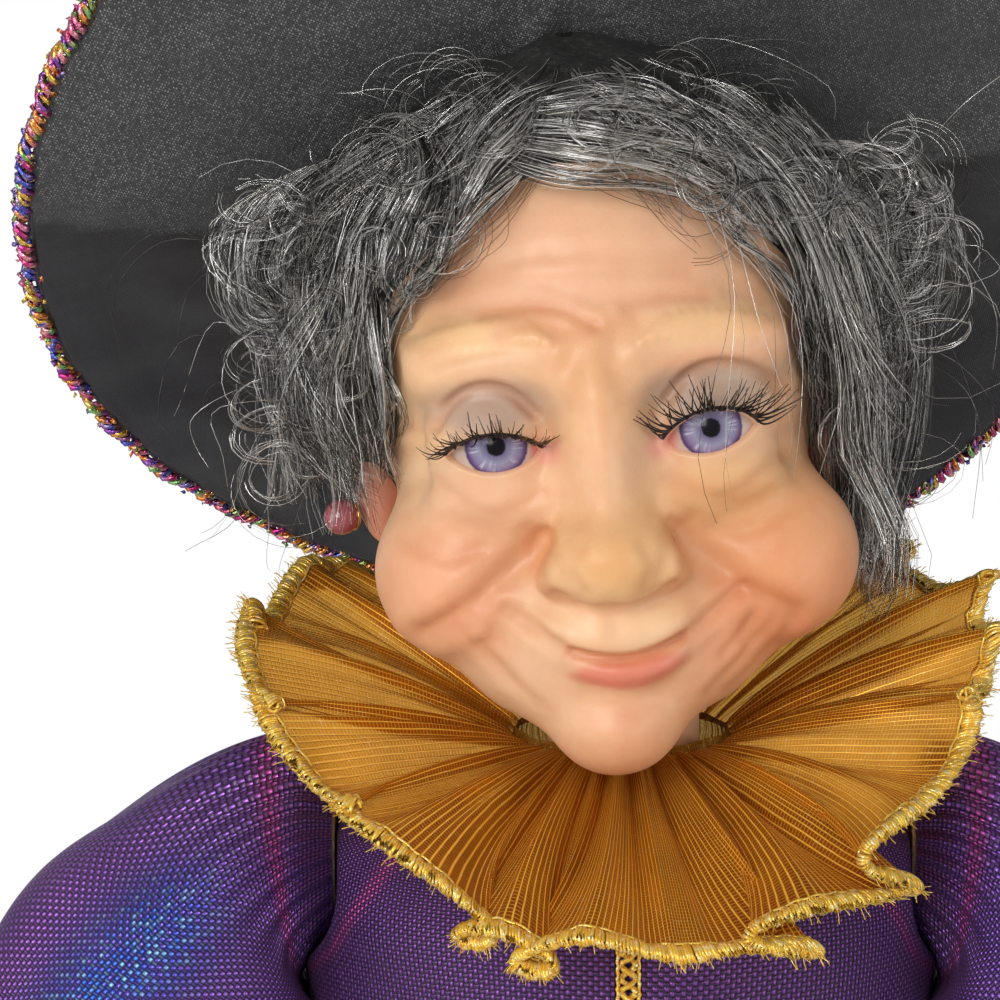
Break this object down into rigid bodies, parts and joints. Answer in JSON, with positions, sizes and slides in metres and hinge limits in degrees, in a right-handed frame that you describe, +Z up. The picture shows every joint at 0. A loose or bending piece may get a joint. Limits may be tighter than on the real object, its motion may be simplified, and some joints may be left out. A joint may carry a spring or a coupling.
{
  "type": "witch doll",
  "caption": "Standing display witch doll with a pointed hat, curly wig, gathered ruff and full gown; the head turns, the arms swing and bend.",
  "frame": {"origin": "on the floor, in the middle of the felt underside of the base, below the spine post", "axes": "+Z up along the spine post, the doll faces -Y, its own left is at +X"},
  "size_m": [0.2644, 0.2186, 0.5873],
  "materials": {
    "skin": "waxy cast skin, painted features",
    "eye": "clear glossy eye over a lavender iris",
    "lash_fibre": "black fibre",
    "pearl": "rose pearl",
    "wig_net": "dark net",
    "hair": "grey and black fibre",
    "satin": "black satin",
    "iridescent_braid": "iridescent metallic braid",
    "organza": "sheer gold organza",
    "gold_thread": "gold metallic thread",
    "gown_cloth": "purple metallic weave",
    "stuffed_calico": "stuffed cotton cloth",
    "card": "plain card",
    "wood": "plain wood",
    "felt": "black felt",
    "steel": "bright wire"
  },
  "bodies": {
    "body": {"base_felt": "felt", "base_board": "wood", "post_screw": "steel", "spine_post": "wood", "skirt_form": "card", "skirt": "gown_cloth", "waistband": "gown_cloth", "torso": "stuffed_calico", "bodice": "gown_cloth", "front_braid": "gold_thread", "neck_washer": "card", "ruff_band": "organza", "ruff": "organza", "ruff_edge": "gold_thread", "left_shoulder_disc": "card", "right_shoulder_disc": "card", "left_shoulder_pin": "steel", "right_shoulder_pin": "steel"},
    "head": {"neck_plug": "wood", "head": "skin", "left_eye": "eye", "right_eye": "eye", "left_lashes": "lash_fibre", "right_lashes": "lash_fibre", "left_earring": "pearl", "right_earring": "pearl", "wig_cap": "wig_net", "hair_fringe": "hair", "hair_left": "hair", "hair_right": "hair", "hair_back": "hair", "hat_brim": "satin", "hat_crown": "satin", "hat_band": "satin", "brim_wire": "steel", "brim_braid": "iridescent_braid"},
    "left_upper_arm": {"left_arm_disc": "card", "left_upper_arm": "stuffed_calico", "left_sleeve": "gown_cloth"},
    "right_upper_arm": {"right_arm_disc": "card", "right_upper_arm": "stuffed_calico", "right_sleeve": "gown_cloth"},
    "left_forearm": {"left_forearm": "skin", "left_lower_sleeve": "gown_cloth", "left_cuff": "gown_cloth", "left_hand": "skin"},
    "right_forearm": {"right_forearm": "skin", "right_lower_sleeve": "gown_cloth", "right_cuff": "gown_cloth", "right_hand": "skin"}
  },
  "joints": [
    {"name": "neck_turn", "type": "hinge", "parent": "body", "child": "head", "pos_m": [0, 0, 0.3946], "axis": [0, 0, 1], "range_deg": [-30, 30]},
    {"name": "left_shoulder_swing", "type": "hinge", "parent": "body", "child": "left_upper_arm", "pos_m": [0.0449, 0, 0.381], "axis": [-1, 0, 0], "range_deg": [-25, 60]},
    {"name": "right_shoulder_swing", "type": "hinge", "parent": "body", "child": "right_upper_arm", "pos_m": [-0.0449, 0, 0.381], "axis": [-1, 0, 0], "range_deg": [-25, 60]},
    {"name": "left_elbow_bend", "type": "hinge", "parent": "left_upper_arm", "child": "left_forearm", "pos_m": [0.09375, -0.006, 0.32675], "axis": [-0.716, 0.3369, -0.6114], "range_deg": [-12, 45]},
    {"name": "right_elbow_bend", "type": "hinge", "parent": "right_upper_arm", "child": "right_forearm", "pos_m": [-0.09375, -0.006, 0.32675], "axis": [-0.716, -0.3369, 0.6114], "range_deg": [-12, 45]}
  ]
}
